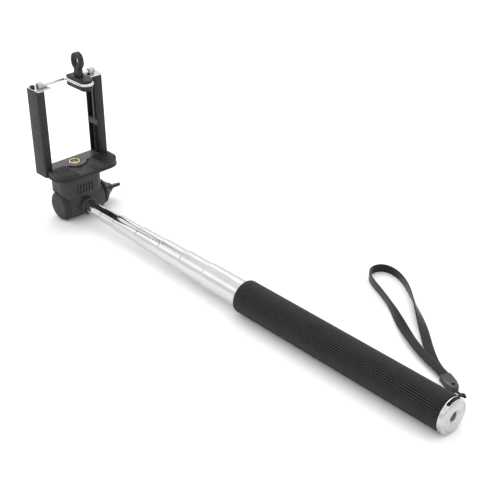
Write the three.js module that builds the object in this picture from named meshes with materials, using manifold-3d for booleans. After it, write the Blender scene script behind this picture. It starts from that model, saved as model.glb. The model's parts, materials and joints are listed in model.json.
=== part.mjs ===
// A telescoping selfie stick with a spring-closed phone holder and a wrist strap.
// Millimetres, +Z up. The origin lies on the table, straight under the hinge that tilts the holder.
// The stick runs along Y with its handle toward -Y; the hinge and the phone holder run along X.

import * as THREE from 'three';
import { mergeVertices } from 'three/addons/utils/BufferGeometryUtils.js';
import Module from 'manifold-3d';

const wasm = await Module();
wasm.setup();

// Clearance between two pieces that touch on the real object.
const gap = 0.3;

// Stick: the handle lies on the table, so its radius is the height of the stick's axis.
const gripRadius = 12.5;
const axisHeight = gripRadius;
const gripFrontY = -204.3;
const gripRearY = -383;
const gripBore = 10.7;
const gripEdge = 0.9;
const ribCount = 52;
const ribDepth = 0.6;

// Telescoping tubes, number 1 innermost, with the place of each front end.
const tubeFronts = [-10.2, -38.4, -56.6, -85.6, -113.8, -140.1, -166.6];
const innermostRadius = 5.5;
const radiusStep = 0.8;
const tubeWall = 0.4;
const slidingLength = 172;
const fixedTubeRearY = -378;
const lipLength = 1.6;
const lipTurn = 0.25;
const flareRise = 0.2;
const flareLength = 20;
const flareTaper = 2;
const tubeSides = 20;

// Glide plugs in the rear ends of the sliding tubes.
const glideFit = 0.15;
const glideFlange = 1.5;
const glideSpigot = 3;
const glideWall = 1.6;

// End cap with a 1/4 inch camera socket and a slot for the wrist strap.
const capRadius = 12.3;
const capRearY = -387.6;
const capChamfer = 1;
const capSpigotRadius = 9.5;
const capSpigotFrontY = -366;
const socketRadius = 3.2;
const socketDepth = 14;
const socketChamfer = 0.8;
const slotCentreY = -385.4;
const slotWidth = 2.4;
const slotHalfLength = 6;
const slotFloorZ = 20.5;

// Hinge: the knuckle is a barrel along X and the tilting head's tongue sits in its slot.
const barrelRadius = 12.9;
const hingeHalfLength = 19.5;
const barrelRound = 4.5;
const barrelChamfer = 1.2;
const bossRadius = 7;
const bossRearY = -18;
const tongueRadius = 8.3;
const tongueHalfWidth = 6;
const tongueClearance = 0.5;
const saddleRadius = barrelRadius + 0.8;
const boltRadius = 2.5;
const boltBore = 2.9;
const boltLeftX = -14.9;
const boltRightX = 27.5;
const nutRadius = 4.3;
const nutPocketRadius = 4.7;
const nutLeftX = -15.9;
const nutRightX = -11.9;
const tubeSocketFit = 0.35;
const washerRadius = 7.15;

// Wing knob on the right-hand end of the hinge bolt.
const knobLeftX = 21.4;
const knobRadius = 11;
const knobRimRightX = 24.2;
const knobNeckX = 33.2;
const knobNeckRadius = 3.4;
const knobTipX = 34;
const knobRimChamfer = 0.6;
const knobShoulder = 0.9;
const knobTipChamfer = 0.8;
const wingEndX = 40.5;
const wingWidth = 14;
const wingThickness = 2.4;
const wingCorner = 3;
const wingAngle = -25.4 * Math.PI / 180;

// Tilting head and the camera stud that stands out of its top.
const headHalfWidth = hingeHalfLength;
const headHalfDepth = 12;
const headCorner = 8;
const headBottomZ = axisHeight + bossRadius + gap;
const headTopZ = 43;
const headChamfer = 1;
const studRadius = 3;
const studTipZ = 46.6;
const studChamfer = 0.6;
const studHeadRadius = 5.4;
const studHeadBottomZ = 28.2;
const studHeadTopZ = 30.8;
const fluteCount = 6;
const flutePitch = 2.8;
const fluteWidth = 1.5;
const fluteDepth = 0.9;
const fluteBottomZ = 23.8;
const fluteTopZ = 31.6;

// Phone holder: a tray between two posts, with a strip and a pad on top.
const trayBottomZ = headTopZ + gap;
const trayTopZ = 45.5;
const restZ = 48;
const trayBackY = 7.8;
const trayFrontY = -25;
const trayHalfWidth = 29.5;
const trayCorner = 11;
const trayChamfer = 0.5;
const stripFrontY = -4.5;
const stripBulge = 10;
const insertRadius = 4.7;
const insertBore = 3.25;
const padEndZ = 49.5;
const padMiddleZ = 46.8;
const padDishHalfWidth = 13;
const padRibCount = 5;
const padRibPitch = 2.4;
const padRibGroove = 1;
const padRibInset = 2;
const padRibDepth = 0.6;
const padInset = 0.3;
const padChamfer = 0.4;
const dishRunOut = 4;
const dishLean = 1.5;

const postInnerX = 23.3;
const postOuterX = 30.5;
const postFrontY = -4.6;
const postBackY = 11;
const postTopZ = 115.8;
const postWall = 1.8;
const postCorner = 1.6;
const postChamfer = 0.7;
const postFloorZ = 47.3;
const postBossBottomZ = 105.8;
const postBossInnerX = 26.5;
const screwX = 28.2;
const screwY = 5.4;
const screwRadius = 0.9;
const screwHeadRadius = 1.9;
const screwTopRadius = 1.3;
const screwRim = 0.8;
const screwShoulder = 1.6;
const screwHeadHeight = 2;
const screwEndZ = 107.2;
const plateInnerX = 17.5;
const plateOuterX = 30.3;
const plateFrontY = -6;
const plateBackY = 10.7;
const plateCorner = 1;
const plateThickness = 0.6;
const plateBottomZ = postTopZ + gap;
const plateTopZ = plateBottomZ + plateThickness;

// Sprung jaw: a wire bow round a sandwich of two plates, with a slider in each post.
const wireRadius = 1.4;
const wireZ = plateTopZ + gap + wireRadius;
const wireY = 1.5;
const wireEndX = 23;
const wireBend = 2.2;
const hairpinLeftX = 0;
const hairpinRightX = 9.8;
const hairpinFrontY = -23.5;
const hairpinBend = 4.8;
const jawLeftX = -0.5;
const jawRightX = 10.3;
const jawFrontY = -24;
const jawRound = 5;
const jawChamfer = 0.4;
const jawPadInset = 0.8;
const jawPadChamfer = 0.3;
const jawLowerZ = 114.5;
const jawLowerTopZ = wireZ - wireRadius - gap;
const jawUpperZ = wireZ + wireRadius + gap;
const jawTopZ = 122.2;
const jawPadZ = 113.2;
const legInnerX = 23.6;
const legOuterX = 25.9;
const legFrontY = 0.3;
const legBackY = 2.7;
const legClearance = 0.4;
const shoeBottomZ = 72.5;
const shoeTopZ = 77.5;
const shoeOuterX = 28.3;
const shoeClearance = 0.4;
const clampInnerX = 21.4;
const clampTopZ = 120.6;
const clampHalfDepth = 2.2;
const springRadius = 2.1;
const springWire = 0.45;
const springTurns = 7;
const springX = 26;
const springY = 3.2;

// Pull tab, a soft loop that stands on the jaw.
const tabX = 4.9;
const tabY = -9.8;
const tabThickness = 4.5;
const tabBottomZ = jawTopZ + gap;
const tabRingZ = 134.4;
const tabRingHalfWidth = 5.8;
const tabRingHalfHeight = 7;
const tabStrip = 2.1;
const tabNeckWidth = 5.4;
const tabFootWidth = 7.4;
const tabFootHeight = 2.2;
const tabFootTaper = 1.2;
const tabEdge = 0.4;

// Wrist strap: a twisted string from the cap slot to a moulded crimp, then a loop of webbing.
const stringRadius = 0.9;
const crimpStart = new THREE.Vector2(39.5, -351);
const crimpEnd = new THREE.Vector2(33.3, -364.6);
const crimpHalfWidth = 3.9;
const crimpEndHalfWidth = 2.4;
const crimpTopZ = 4.4;
const crimpEdge = 0.7;
const crimpShoulder = 0.6;
const crimpEyeletInset = 3.6;
const crimpEyeletRadius = 1.1;
const webbingWidth = 6.8;
const webbingThickness = 1.2;
const stringRoute = [
  [-2, -385.4, 22], [1.2, -385.4, 22.8], [4.4, -385.4, 24.2], [7.4, -385.4, 24.4], [10.2, -385.2, 22.9],
  [12.6, -384.7, 19.9], [14.8, -383.5, 17.6], [17, -381.8, 15.6], [19.3, -379.8, 13.5], [21.8, -377.6, 11.1],
  [24.5, -375.2, 8.5], [27.3, -372.6, 6], [29.8, -370, 4], [31.6, -367.6, 2.7], [32.9, -365.4, 2.2],
];
const webbingRoute = [
  [40.2, -350.5, 2.9], [41.7, -346, 3], [43.5, -339.6, 3.1], [45.8, -332, 3.2], [48.6, -324, 3.4],
  [53.2, -314.2, 3.4], [59.2, -303, 3.4], [66.2, -291.2, 3.4], [73.6, -279.6, 3.4], [80.4, -267.8, 3.5],
  [85.8, -256.8, 3.6], [90.2, -247, 3.6], [95, -239, 3.6], [101.2, -234.4, 3.6], [107.6, -234.2, 3.6],
  [112.4, -238, 3.6], [113.8, -245, 3.6], [111.8, -254, 3.6], [106.4, -264.4, 3.6], [98.6, -275.4, 3.5],
  [89.6, -287, 3.3], [80.2, -298.4, 2.8], [70.6, -309.6, 2.1], [61.4, -319.8, 1.5], [53.8, -328.8, 1.2],
  [48.4, -336, 1.2], [44.6, -342.4, 1.3], [41.2, -349.2, 1.4], [40.5, -350.6, 1.4],
];
const webbingSteps = 56;
const leanRise = [0.14, 0.34];
const leanFall = [0.62, 0.86];

const blackPlastic = new THREE.MeshStandardMaterial({ color: 0x2b2b2c, roughness: 0.55, metalness: 0 });
const greyPlastic = new THREE.MeshStandardMaterial({ color: 0x55565a, roughness: 0.4, metalness: 0 });
const rubber = new THREE.MeshStandardMaterial({ color: 0x242424, roughness: 0.85, metalness: 0 });
const chrome = new THREE.MeshStandardMaterial({ color: 0xdfe0e2, roughness: 0.08, metalness: 1 });
const nickel = new THREE.MeshStandardMaterial({ color: 0xd4d4cf, roughness: 0.25, metalness: 1 });
const steel = new THREE.MeshStandardMaterial({ color: 0x9a9da2, roughness: 0.35, metalness: 1 });
const blackSteel = new THREE.MeshStandardMaterial({ color: 0x1d1d1f, roughness: 0.4, metalness: 1 });
const brass = new THREE.MeshStandardMaterial({ color: 0xcba65c, roughness: 0.25, metalness: 1 });
const nylon = new THREE.MeshStandardMaterial({ color: 0xd9d7cf, roughness: 0.5, metalness: 0 });
const webbing = new THREE.MeshStandardMaterial({ color: 0x262627, roughness: 0.9, metalness: 0 });

const selfieStick = new THREE.Group();

// A closed geometry as a solid that can be joined and cut.
function solid(geometry) {
  geometry.deleteAttribute('normal');
  geometry.deleteAttribute('uv');
  const merged = mergeVertices(geometry);
  const triangles = [];
  for (let i = 0; i < merged.index.count; i += 3) {
    const [a, b, c] = merged.index.array.slice(i, i + 3);
    if (a !== b && b !== c && c !== a) triangles.push(a, b, c);
  }
  return new wasm.Manifold(new wasm.Mesh({
    numProp: 3,
    vertProperties: merged.attributes.position.array,
    triVerts: new Uint32Array(triangles),
  }));
}

function addPiece(name, body, material) {
  const cut = body.getMesh();
  const geometry = new THREE.BufferGeometry();
  geometry.setAttribute('position', new THREE.BufferAttribute(cut.vertProperties, 3));
  geometry.setIndex(new THREE.BufferAttribute(cut.triVerts, 1));
  geometry.computeVertexNormals();
  const piece = new THREE.Mesh(geometry, material);
  piece.name = name;
  selfieStick.add(piece);
}

// A box between two corners, given in any order.
function box(x0, x1, y0, y1, z0, z1) {
  const geometry = new THREE.BoxGeometry(Math.abs(x1 - x0), Math.abs(y1 - y0), Math.abs(z1 - z0));
  geometry.translate((x0 + x1) / 2, (y0 + y1) / 2, (z0 + z1) / 2);
  return solid(geometry);
}

function latheOf(profile, sides) {
  return new THREE.LatheGeometry(profile.map(([radius, along]) => new THREE.Vector2(radius, along)), sides);
}

// Profiles are pairs of radius and place along the axis, outer side first.
function turnedAlongStick(profile, sides = tubeSides) {
  return solid(latheOf(profile, sides).translate(0, 0, axisHeight));
}

function turnedAlongHinge(profile, sides = 24) {
  return solid(latheOf(profile, sides).rotateZ(-Math.PI / 2).translate(0, 0, axisHeight));
}

function turnedUpright(profile, x = 0, y = 0, sides = 20) {
  return solid(latheOf(profile, sides).rotateX(Math.PI / 2).translate(x, y, 0));
}

function ring(inner, outer, from, to) {
  return [[outer, from], [outer, to], [inner, to], [inner, from], [outer, from]];
}

function rod(radius, from, to) {
  return [[0, from], [radius, from], [radius, to], [0, to]];
}

// A plan outline raised from one height to another, with its edges chamfered.
function raised(outline, fromZ, toZ, chamfer = 0) {
  const geometry = new THREE.ExtrudeGeometry(outline, {
    depth: toZ - fromZ - 2 * chamfer,
    bevelEnabled: chamfer > 0,
    bevelThickness: chamfer,
    bevelSize: chamfer,
    bevelOffset: -chamfer,
    bevelSegments: 1,
    curveSegments: 4,
  });
  return solid(geometry.translate(0, 0, fromZ + chamfer));
}

function roundedRectangle(x0, x1, y0, y1, radius) {
  const [left, right] = [Math.min(x0, x1), Math.max(x0, x1)];
  const outline = new THREE.Shape();
  outline.absarc(right - radius, y0 + radius, radius, -Math.PI / 2, 0);
  outline.absarc(right - radius, y1 - radius, radius, 0, Math.PI / 2);
  outline.absarc(left + radius, y1 - radius, radius, Math.PI / 2, Math.PI);
  outline.absarc(left + radius, y0 + radius, radius, Math.PI, Math.PI * 1.5);
  return outline;
}

function makeTube(number) {
  const isInnermost = number === 1;
  const isFixed = number === tubeFronts.length;
  const outer = innermostRadius + (number - 1) * radiusStep;
  const inner = outer - tubeWall;
  const front = tubeFronts[number - 1];
  const rear = isFixed ? fixedTubeRearY : front - slidingLength;
  const flare = isFixed ? 0 : flareRise;
  const lip = isInnermost ? 0 : lipTurn;
  const flareEnd = rear + flareLength;
  const profile = [
    [outer + flare, rear], [outer + flare, flareEnd], [outer, flareEnd + flareTaper],
    [outer, front - lipLength], [outer - lip, front], [inner - lip, front],
    [inner, front - lipLength], [inner, flareEnd + flareTaper], [inner + flare, flareEnd],
    [inner + flare, rear], [outer + flare, rear],
  ];
  addPiece(`tube_${number}`, turnedAlongStick(profile), chrome);
  if (!isFixed) makeGlide(number, outer, inner, rear);
}

// A plug in the tube's rear end, with a flange as wide as the tube's flare.
function makeGlide(number, outer, inner, rear) {
  const flangeFront = rear - glideFit;
  const flangeRear = flangeFront - glideFlange;
  const spigot = inner + flareRise - glideFit;
  const bore = spigot - glideWall;
  const flange = outer + flareRise;
  const spigotFront = rear + glideSpigot;
  const profile = [
    [flange, flangeRear], [flange, flangeFront], [spigot, flangeFront], [spigot, spigotFront],
    [bore, spigotFront], [bore, flangeRear], [flange, flangeRear],
  ];
  addPiece(`glide_${number}`, turnedAlongStick(profile), nylon);
}

function makeGrip() {
  const outline = new THREE.Shape();
  for (let i = 0; i < 2 * ribCount; i += 1) {
    const angle = Math.PI * (i / ribCount - 0.5);
    const radius = i % 2 === 0 ? gripRadius : gripRadius - ribDepth;
    const point = [radius * Math.cos(angle), radius * Math.sin(angle)];
    if (i === 0) outline.moveTo(...point);
    else outline.lineTo(...point);
  }
  outline.closePath();
  outline.holes.push(new THREE.Path().absarc(0, 0, gripBore, 0, 2 * Math.PI, true));
  const geometry = new THREE.ExtrudeGeometry(outline, {
    depth: gripFrontY - gripRearY - 2 * gripEdge,
    bevelThickness: gripEdge,
    bevelSize: gripEdge / 2,
    bevelOffset: -gripEdge / 2,
    bevelSegments: 1,
    curveSegments: tubeSides,
  });
  geometry.translate(0, 0, gripRearY + gripEdge).rotateX(-Math.PI / 2).translate(0, 0, axisHeight);
  addPiece('grip_sleeve', solid(geometry), rubber);
}

function makeEndCap() {
  const rimFrontY = gripRearY - gap;
  const body = turnedAlongStick([
    [0, capRearY + socketDepth], [socketRadius, capRearY + socketDepth],
    [socketRadius, capRearY + socketChamfer], [socketRadius + socketChamfer, capRearY],
    [capRadius - capChamfer, capRearY], [capRadius, capRearY + capChamfer], [capRadius, rimFrontY],
    [capSpigotRadius, rimFrontY], [capSpigotRadius, capSpigotFrontY], [0, capSpigotFrontY],
  ], 24);
  const slot = box(
    -slotHalfLength, slotHalfLength,
    slotCentreY - slotWidth / 2, slotCentreY + slotWidth / 2,
    slotFloorZ, axisHeight + capRadius + 1,
  );
  addPiece('end_cap', body.subtract(slot), nickel);
}

function makeKnuckle() {
  const barrelProfile = [[0, -hingeHalfLength]];
  for (let i = 0; i <= 5; i += 1) {
    const angle = (i / 5) * Math.PI / 2;
    barrelProfile.push([
      barrelRadius - barrelRound + barrelRound * Math.sin(angle),
      -hingeHalfLength + barrelRound - barrelRound * Math.cos(angle),
    ]);
  }
  barrelProfile.push(
    [barrelRadius, hingeHalfLength - barrelChamfer],
    [barrelRadius - barrelChamfer, hingeHalfLength], [0, hingeHalfLength],
  );
  const slotRadius = tongueRadius + tongueClearance;
  const slotHalfWidth = tongueHalfWidth + gap;
  const reach = barrelRadius + 1;
  const tubeFront = tubeFronts[0];
  const belowTable = box(-hingeHalfLength - 1, hingeHalfLength + 1, -reach, reach, -reach, 0);
  const tongueSlot = turnedAlongHinge(rod(slotRadius, -slotHalfWidth, slotHalfWidth))
    .add(box(-slotHalfWidth, slotHalfWidth, 0, reach, axisHeight - slotRadius, axisHeight + reach))
    .add(box(-slotHalfWidth, slotHalfWidth, -slotRadius, 1, axisHeight, axisHeight + reach));
  const tubeSocket = turnedAlongStick(rod(innermostRadius + tubeSocketFit, bossRearY - 1, tubeFront + gap));
  const boltHole = turnedAlongHinge(rod(boltBore, nutLeftX, hingeHalfLength + 1), 16);
  const nutPocket = turnedAlongHinge(rod(nutPocketRadius, nutLeftX - gap, nutRightX + gap), 6);
  const body = turnedAlongHinge(barrelProfile)
    .add(turnedAlongStick(rod(bossRadius, bossRearY, -tongueRadius)))
    .subtract(belowTable)
    .subtract(tongueSlot)
    .subtract(tubeSocket)
    .subtract(boltHole)
    .subtract(nutPocket);
  addPiece('knuckle', body, blackPlastic);
}

function makeHingeFasteners() {
  addPiece('hinge_bolt', turnedAlongHinge(rod(boltRadius, boltLeftX, boltRightX), 16), steel);
  addPiece('hinge_nut', turnedAlongHinge(rod(nutRadius, nutLeftX, nutRightX), 6)
    .subtract(turnedAlongHinge(rod(boltBore, nutLeftX - 1, nutRightX + 1), 16)), steel);
  const washer = ring(boltBore, washerRadius, hingeHalfLength + gap, knobLeftX - gap);
  addPiece('knob_washer', turnedAlongHinge(washer, 24), steel);
}

function makeWingKnob() {
  const cone = turnedAlongHinge([
    [0, boltRightX + gap], [boltBore, boltRightX + gap], [boltBore, knobLeftX],
    [knobRadius - knobRimChamfer, knobLeftX],
    [knobRadius, knobLeftX + knobRimChamfer], [knobRadius, knobRimRightX - knobRimChamfer],
    [knobRadius - knobShoulder, knobRimRightX], [knobNeckRadius, knobNeckX],
    [knobNeckRadius - knobTipChamfer, knobTipX], [0, knobTipX],
  ]);
  const wingOutline = roundedRectangle(boltRightX + 1, wingEndX, -wingWidth / 2, wingWidth / 2, wingCorner);
  const wing = new THREE.ExtrudeGeometry(wingOutline, {
    depth: wingThickness,
    bevelEnabled: false,
    curveSegments: 5,
  });
  wing.translate(0, 0, -wingThickness / 2).rotateX(wingAngle).translate(0, 0, axisHeight);
  addPiece('wing_knob', cone.add(solid(wing)), blackPlastic);
}

function makeTiltHead() {
  const outline = roundedRectangle(-headHalfWidth, headHalfWidth, -headHalfDepth, headHalfDepth, headCorner);
  const saddle = turnedAlongHinge(rod(saddleRadius, -headHalfWidth - 1, headHalfWidth + 1));
  const neckTopZ = axisHeight + saddleRadius + 1;
  const neck = box(-tongueHalfWidth, tongueHalfWidth, -tongueRadius, tongueRadius, axisHeight, neckTopZ);
  const studBore = turnedUpright(rod(studRadius + gap, studHeadBottomZ, headTopZ + 1));
  const studPocket = turnedUpright(rod(studHeadRadius + gap, studHeadBottomZ - gap, studHeadTopZ + gap));
  let body = raised(outline, headBottomZ, headTopZ, headChamfer)
    .subtract(saddle)
    .add(neck)
    .add(turnedAlongHinge(rod(tongueRadius, -tongueHalfWidth, tongueHalfWidth)))
    .subtract(turnedAlongHinge(rod(boltBore, -tongueHalfWidth - 1, tongueHalfWidth + 1), 16))
    .subtract(studBore)
    .subtract(studPocket);
  for (let i = 0; i < fluteCount; i += 1) {
    const x = (i - (fluteCount - 1) / 2) * flutePitch;
    body = body.subtract(box(
      x - fluteWidth / 2, x + fluteWidth / 2,
      -headHalfDepth - 1, -headHalfDepth + fluteDepth, fluteBottomZ, fluteTopZ,
    ));
  }
  addPiece('tilt_head', body, blackPlastic);
}

function makeCameraStud() {
  addPiece('camera_stud', turnedUpright([
    [0, studHeadBottomZ], [studHeadRadius, studHeadBottomZ], [studHeadRadius, studHeadTopZ],
    [studRadius, studHeadTopZ], [studRadius, studTipZ - studChamfer],
    [studRadius - studChamfer, studTipZ], [0, studTipZ],
  ]), steel);
}

// Outline of the tray, narrower between the posts and full width in front of them.
function trayOutline(inset) {
  const neckX = postInnerX - gap - inset;
  const backY = trayBackY - inset;
  const shoulderY = postFrontY - gap - inset;
  const sideX = trayHalfWidth - inset;
  const corner = trayCorner - inset;
  const cornerX = trayHalfWidth - trayCorner;
  const cornerY = trayFrontY + trayCorner;
  const outline = new THREE.Shape();
  outline.moveTo(neckX, shoulderY);
  outline.lineTo(neckX, backY);
  outline.lineTo(-neckX, backY);
  outline.lineTo(-neckX, shoulderY);
  outline.lineTo(-sideX, shoulderY);
  outline.absarc(-cornerX, cornerY, corner, Math.PI, Math.PI * 1.5);
  outline.absarc(cornerX, cornerY, corner, -Math.PI / 2, 0);
  outline.lineTo(sideX, shoulderY);
  outline.closePath();
  return outline;
}

function makeTray() {
  const insertHole = turnedUpright(rod(insertRadius + gap, trayBottomZ - 1, restZ + 1));
  const stripX = postInnerX - gap;
  const band = box(-stripX, stripX, stripFrontY, trayBackY, trayTopZ + gap, restZ);
  const bulge = turnedUpright(rod(stripBulge, trayTopZ + gap, restZ), 0, 0, 24)
    .subtract(box(-stripX, stripX, trayBackY, stripBulge + 1, trayTopZ, restZ + 1));
  const tray = raised(trayOutline(0), trayBottomZ, trayTopZ, trayChamfer).subtract(insertHole);
  addPiece('base_tray', tray, blackPlastic);
  addPiece('rest_strip', band.add(bulge).subtract(insertHole), greyPlastic);
  addPiece('thread_insert', turnedUpright(ring(insertBore, insertRadius, trayBottomZ + gap, restZ)), brass);
}

// The pad is raised and ribbed at both ends and dished in the middle.
function makeBasePad() {
  const padBottomZ = trayTopZ + gap;
  const stripClearance = stripFrontY - gap;
  let body = raised(trayOutline(padInset), padBottomZ, padEndZ, padChamfer)
    .subtract(box(-trayHalfWidth, trayHalfWidth, stripClearance, trayBackY + 1, padBottomZ - 1, padEndZ + 1))
    .subtract(turnedUpright(rod(stripBulge + gap, padBottomZ - 1, padEndZ + 1), 0, 0, 24));
  const dish = new THREE.Shape();
  dish.moveTo(-padDishHalfWidth, padEndZ + 1);
  dish.lineTo(-padDishHalfWidth, padEndZ - padRibDepth);
  dish.quadraticCurveTo(-padDishHalfWidth + dishLean, padMiddleZ, -padDishHalfWidth + dishRunOut, padMiddleZ);
  dish.lineTo(padDishHalfWidth - dishRunOut, padMiddleZ);
  dish.quadraticCurveTo(padDishHalfWidth - dishLean, padMiddleZ, padDishHalfWidth, padEndZ - padRibDepth);
  dish.lineTo(padDishHalfWidth, padEndZ + 1);
  const dishCut = new THREE.ExtrudeGeometry(dish, { depth: 40, bevelEnabled: false, curveSegments: 4 });
  body = body.subtract(solid(dishCut.rotateX(Math.PI / 2).translate(0, 10, 0)));
  for (const side of [-1, 1]) {
    for (let i = 0; i < padRibCount; i += 1) {
      const x = side * (padDishHalfWidth + padRibInset + i * padRibPitch);
      body = body.subtract(box(
        x - padRibGroove / 2, x + padRibGroove / 2, trayFrontY, trayBackY, padEndZ - padRibDepth, padEndZ + 1,
      ));
    }
  }
  addPiece('base_pad', body, rubber);
}

function makePost(side, sideName) {
  const outline = roundedRectangle(side * postInnerX, side * postOuterX, postFrontY, postBackY, postCorner);
  const channelFrontY = postFrontY + postWall;
  const channelBackY = postBackY - postWall;
  const openX = side * (postInnerX - 1);
  const channelX = side * (postOuterX - postWall);
  const body = raised(outline, trayBottomZ, postTopZ, postChamfer)
    .subtract(box(openX, channelX, channelFrontY, channelBackY, postFloorZ, postBossBottomZ))
    .subtract(box(openX, side * postBossInnerX, channelFrontY, channelBackY, postBossBottomZ - 1, postTopZ + 1))
    .subtract(turnedUpright(rod(screwRadius + gap, postBossBottomZ + 1, postTopZ + 1), side * screwX, screwY, 12));
  addPiece(`post_${sideName}`, body, blackPlastic);
}

function makeCapPlate(side, sideName) {
  const outline = roundedRectangle(side * plateInnerX, side * plateOuterX, plateFrontY, plateBackY, plateCorner);
  const legHole = box(
    side * (legInnerX - legClearance), side * (legOuterX + gap),
    legFrontY - legClearance, legBackY + legClearance, plateBottomZ - 1, plateTopZ + 1,
  );
  const screwHole = rod(screwRadius + gap, plateBottomZ - 1, plateTopZ + 1);
  addPiece(`cap_plate_${sideName}`, raised(outline, plateBottomZ, plateTopZ)
    .subtract(legHole)
    .subtract(turnedUpright(screwHole, side * screwX, screwY, 12)), chrome);
  const underHead = plateTopZ + gap;
  addPiece(`cap_screw_${sideName}`, turnedUpright([
    [0, screwEndZ], [screwRadius, screwEndZ], [screwRadius, underHead],
    [screwHeadRadius, underHead], [screwHeadRadius, underHead + screwRim],
    [screwTopRadius, underHead + screwShoulder], [0, underHead + screwHeadHeight],
  ], side * screwX, screwY, 12), blackSteel);
}

// The slider's shoe meets the thick top of the post at the end of the jaw's travel.
function makeSlideLeg(side, sideName) {
  const clampBottomZ = plateTopZ + gap;
  const shoeInset = postWall + shoeClearance;
  const shoe = box(
    side * legInnerX, side * shoeOuterX, postFrontY + shoeInset, postBackY - shoeInset, shoeBottomZ, shoeTopZ,
  );
  const clamp = box(
    side * clampInnerX, side * legOuterX, wireY - clampHalfDepth, wireY + clampHalfDepth, clampBottomZ, clampTopZ,
  );
  const grip = wireRadius + gap;
  const wireHole = box(
    side * (clampInnerX - 1), side * (wireEndX + gap), wireY - grip, wireY + grip, clampBottomZ - 1, wireZ + grip,
  );
  const body = box(side * legInnerX, side * legOuterX, legFrontY, legBackY, shoeTopZ - 1, clampBottomZ + 1)
    .add(shoe)
    .add(clamp)
    .subtract(wireHole);
  addPiece(`slide_leg_${sideName}`, body, blackPlastic);
}

// A straight or bent wire through hand-set corners, each corner rounded to its own radius.
function bentPath(corners) {
  const path = new THREE.CurvePath();
  let from = new THREE.Vector3(...corners[0].at);
  for (let i = 1; i < corners.length - 1; i += 1) {
    const corner = new THREE.Vector3(...corners[i].at);
    const before = new THREE.Vector3(...corners[i - 1].at).sub(corner).setLength(corners[i].bend).add(corner);
    const after = new THREE.Vector3(...corners[i + 1].at).sub(corner).setLength(corners[i].bend).add(corner);
    if (from.distanceTo(before) > 0.01) path.add(new THREE.LineCurve3(from, before));
    path.add(new THREE.QuadraticBezierCurve3(before, corner, after));
    from = after;
  }
  path.add(new THREE.LineCurve3(from, new THREE.Vector3(...corners.at(-1).at)));
  return path;
}

function ovalSection(halfX, halfY, sides) {
  const outline = new THREE.Shape();
  for (let i = 0; i < sides; i += 1) {
    const angle = (i + 0.5) * 2 * Math.PI / sides;
    const point = [halfX * Math.cos(angle), halfY * Math.sin(angle)];
    if (i === 0) outline.moveTo(...point);
    else outline.lineTo(...point);
  }
  outline.closePath();
  return outline;
}

function swept(outline, path, steps) {
  return solid(new THREE.ExtrudeGeometry(outline, { steps, extrudePath: path, bevelEnabled: false }));
}

function makeWireBow() {
  const path = bentPath([
    { at: [-wireEndX, wireY, wireZ] },
    { at: [hairpinLeftX, wireY, wireZ], bend: wireBend },
    { at: [hairpinLeftX, hairpinFrontY, wireZ], bend: hairpinBend },
    { at: [hairpinRightX, hairpinFrontY, wireZ], bend: hairpinBend },
    { at: [hairpinRightX, wireY, wireZ], bend: wireBend },
    { at: [wireEndX, wireY, wireZ] },
  ]);
  addPiece('wire_bow', swept(ovalSection(wireRadius, wireRadius, 6), path, 48), chrome);
}

function jawOutline(inset) {
  const left = jawLeftX + inset;
  const right = jawRightX - inset;
  const round = jawRound - inset;
  const front = jawFrontY + inset;
  const outline = new THREE.Shape();
  outline.moveTo(right, 0);
  outline.lineTo(left, 0);
  outline.absarc(left + round, front + round, round, Math.PI, Math.PI * 1.5);
  outline.absarc(right - round, front + round, round, -Math.PI / 2, 0);
  outline.closePath();
  return outline;
}

function makeJaw() {
  const coreInset = wireRadius + gap + hairpinLeftX - jawLeftX;
  const core = raised(jawOutline(coreInset), jawLowerTopZ - 1, wireZ + wireRadius)
    .subtract(box(jawLeftX, jawRightX, -gap, 1, jawLowerTopZ, jawTopZ));
  addPiece('jaw_lower_plate', raised(jawOutline(0), jawLowerZ, jawLowerTopZ, jawChamfer).add(core), blackPlastic);
  addPiece('jaw_upper_plate', raised(jawOutline(0), jawUpperZ, jawTopZ, jawChamfer), blackPlastic);
  addPiece('jaw_pad', raised(jawOutline(jawPadInset), jawPadZ, jawLowerZ - gap, jawPadChamfer), rubber);
}

// A foot, a short neck and an upright oval ring with a narrow finger hole.
function makePullTab() {
  const outline = new THREE.Shape();
  outline.moveTo(tabFootWidth / 2, tabBottomZ);
  outline.lineTo(tabFootWidth / 2, tabBottomZ + tabFootHeight);
  outline.lineTo(tabNeckWidth / 2, tabBottomZ + tabFootHeight + tabFootTaper);
  const neckTop = Math.asin(tabNeckWidth / 2 / tabRingHalfWidth);
  outline.absellipse(
    0, tabRingZ, tabRingHalfWidth, tabRingHalfHeight, neckTop - Math.PI / 2, Math.PI * 1.5 - neckTop,
  );
  outline.lineTo(-tabNeckWidth / 2, tabBottomZ + tabFootHeight + tabFootTaper);
  outline.lineTo(-tabFootWidth / 2, tabBottomZ + tabFootHeight);
  outline.lineTo(-tabFootWidth / 2, tabBottomZ);
  outline.closePath();
  const fingerHole = new THREE.Path();
  fingerHole.absellipse(0, tabRingZ, tabRingHalfWidth - tabStrip, tabRingHalfHeight - tabStrip, 0, 2 * Math.PI);
  outline.holes.push(fingerHole);
  const geometry = new THREE.ExtrudeGeometry(outline, {
    depth: tabThickness - 2 * tabEdge,
    bevelThickness: tabEdge,
    bevelSize: tabEdge,
    bevelOffset: -tabEdge,
    bevelSegments: 1,
    curveSegments: 12,
  });
  geometry.translate(0, 0, tabEdge - tabThickness / 2).rotateX(Math.PI / 2).rotateZ(Math.PI / 2);
  geometry.translate(tabX, tabY, 0);
  addPiece('pull_tab', solid(geometry), rubber);
}

class Coil extends THREE.Curve {
  constructor(x, y, bottomZ, topZ) {
    super();
    this.axis = new THREE.Vector3(x, y, bottomZ);
    this.height = topZ - bottomZ;
  }

  getPoint(t) {
    const angle = t * springTurns * 2 * Math.PI;
    const offset = [springRadius * Math.cos(angle), springRadius * Math.sin(angle), t * this.height];
    return new THREE.Vector3(...offset).add(this.axis);
  }
}

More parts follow.
